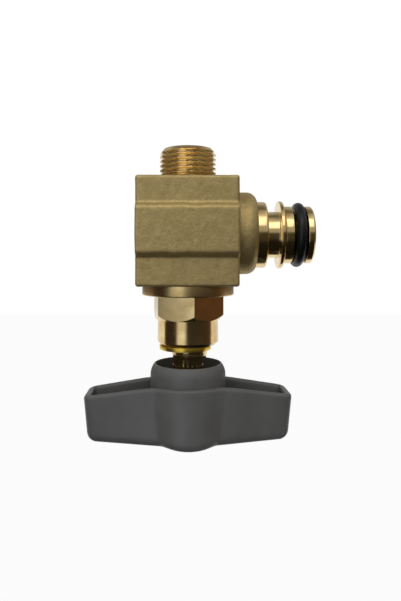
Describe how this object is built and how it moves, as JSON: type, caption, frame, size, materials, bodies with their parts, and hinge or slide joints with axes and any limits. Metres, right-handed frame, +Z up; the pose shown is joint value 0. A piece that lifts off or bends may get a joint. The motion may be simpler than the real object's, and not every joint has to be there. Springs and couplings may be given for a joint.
{
  "type": "boiler filling tap",
  "caption": "Angle screw-down valve in cast brass: threaded inlet on top, plug-in spigot with O-ring at the side, hexagonal headwork and a two-winged plastic handle below.",
  "frame": {"origin": "on the spigot's axis, at the centre of the flange face that the socket's clip bears on", "axes": "+X out of the spigot, +Z up through the threaded inlet, so the handle hangs towards -Z; the valve's axis is vertical at x = -26.4 mm"},
  "size_m": [0.0663, 0.0316, 0.0854],
  "materials": {
    "cast_brass": "sand-cast with machined ends",
    "turned_brass": "turned, bright",
    "ring_brass": "stamped, bright yellow",
    "grey_plastic": "satin moulding",
    "rubber": "satin, lightly greased",
    "gasket_fibre": "matte fibre",
    "slip_plastic": "smooth",
    "zinc_steel": "zinc plated"
  },
  "bodies": {
    "valve": {"valve_body": "cast_brass", "spigot_o_ring": "rubber", "bonnet": "turned_brass", "bonnet_gasket": "gasket_fibre"},
    "turning": {"spindle": "turned_brass", "thrust_washer": "slip_plastic", "spindle_o_ring_inner": "rubber", "spindle_o_ring_outer": "rubber", "retaining_ring": "ring_brass", "handle": "grey_plastic", "handle_screw": "zinc_steel", "handle_screw_washer": "zinc_steel", "handle_cap": "grey_plastic"},
    "disc": {"valve_disc": "turned_brass", "seat_washer": "rubber", "seat_screw": "turned_brass"}
  },
  "joints": [
    {"name": "handle_turn", "type": "hinge", "parent": "valve", "child": "turning", "pos_m": [-0.0264, 0, -0.0512], "axis": [0, 0, -1], "range_deg": [0, 720]},
    {"name": "disc_lift", "type": "slide", "parent": "valve", "child": "disc", "axis": [0, 0, -1], "range_m": [0, 0.004]}
  ],
  "couplings": [
    {"joint": "disc_lift", "follows": "handle_turn", "m_per_rad": 0.0003183}
  ]
}
